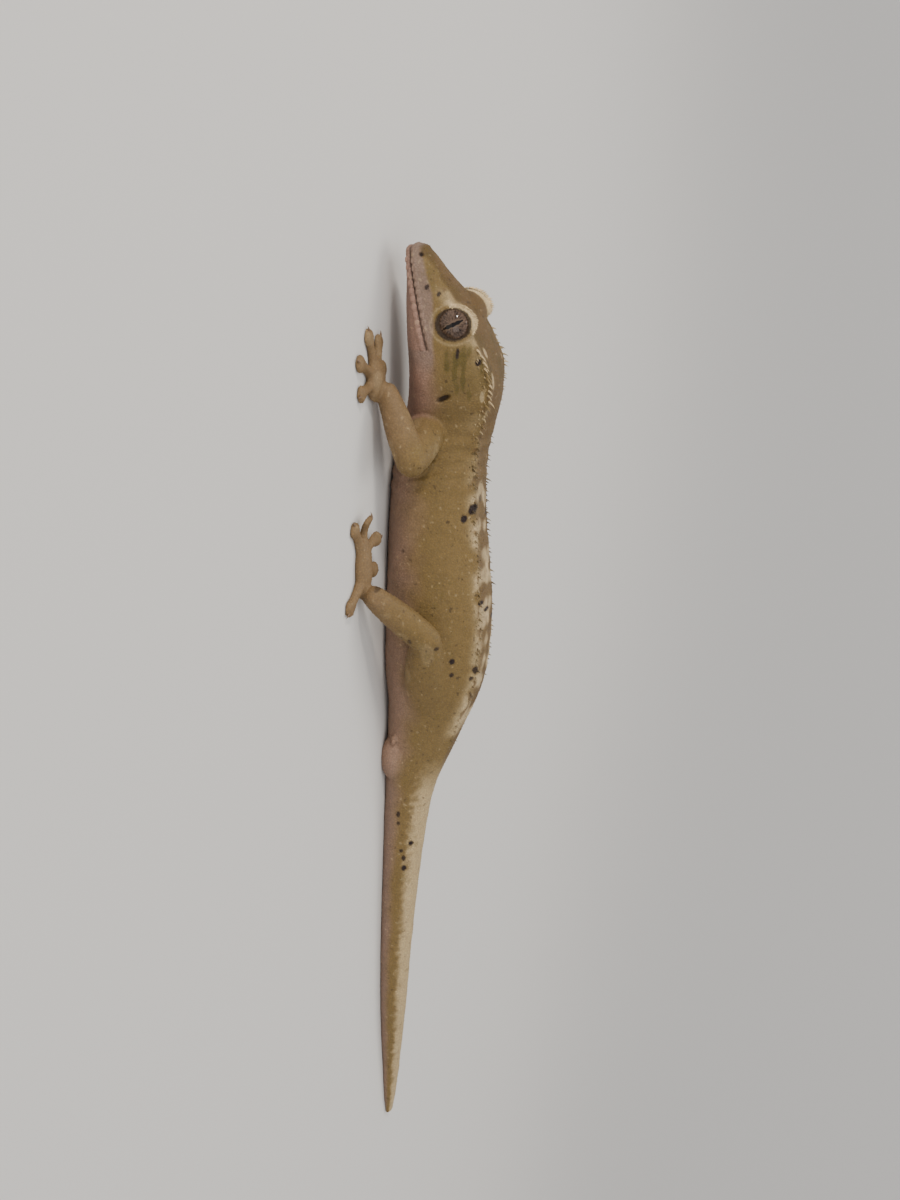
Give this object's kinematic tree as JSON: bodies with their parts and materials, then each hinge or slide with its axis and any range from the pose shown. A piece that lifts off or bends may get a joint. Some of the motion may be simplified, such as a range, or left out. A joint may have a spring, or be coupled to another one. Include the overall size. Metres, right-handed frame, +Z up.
{
  "type": "crested gecko model",
  "caption": "Life-size still model of an adult crested gecko, lying flat with its head raised and toes spread.",
  "frame": {"origin": "on the ground under the middle of the belly", "axes": "+X towards the snout, +Y towards the animal's left, +Z up"},
  "size_m": [0.2215, 0.0761, 0.0251],
  "materials": {
    "skin": "matte granular skin",
    "eye": "wet gloss"
  },
  "bodies": {
    "root": {"head": "skin", "jaw": "skin", "neck": "skin", "torso": "skin", "hips": "skin", "tail_base": "skin", "tail_middle": "skin", "tail_tip": "skin", "upper_arm_left": "skin", "forearm_left": "skin", "hand_left": "skin", "thigh_left": "skin", "shin_left": "skin", "foot_left": "skin", "upper_arm_right": "skin", "forearm_right": "skin", "hand_right": "skin", "thigh_right": "skin", "shin_right": "skin", "foot_right": "skin", "eye_left": "eye", "eye_right": "eye"}
  },
  "joints": []
}
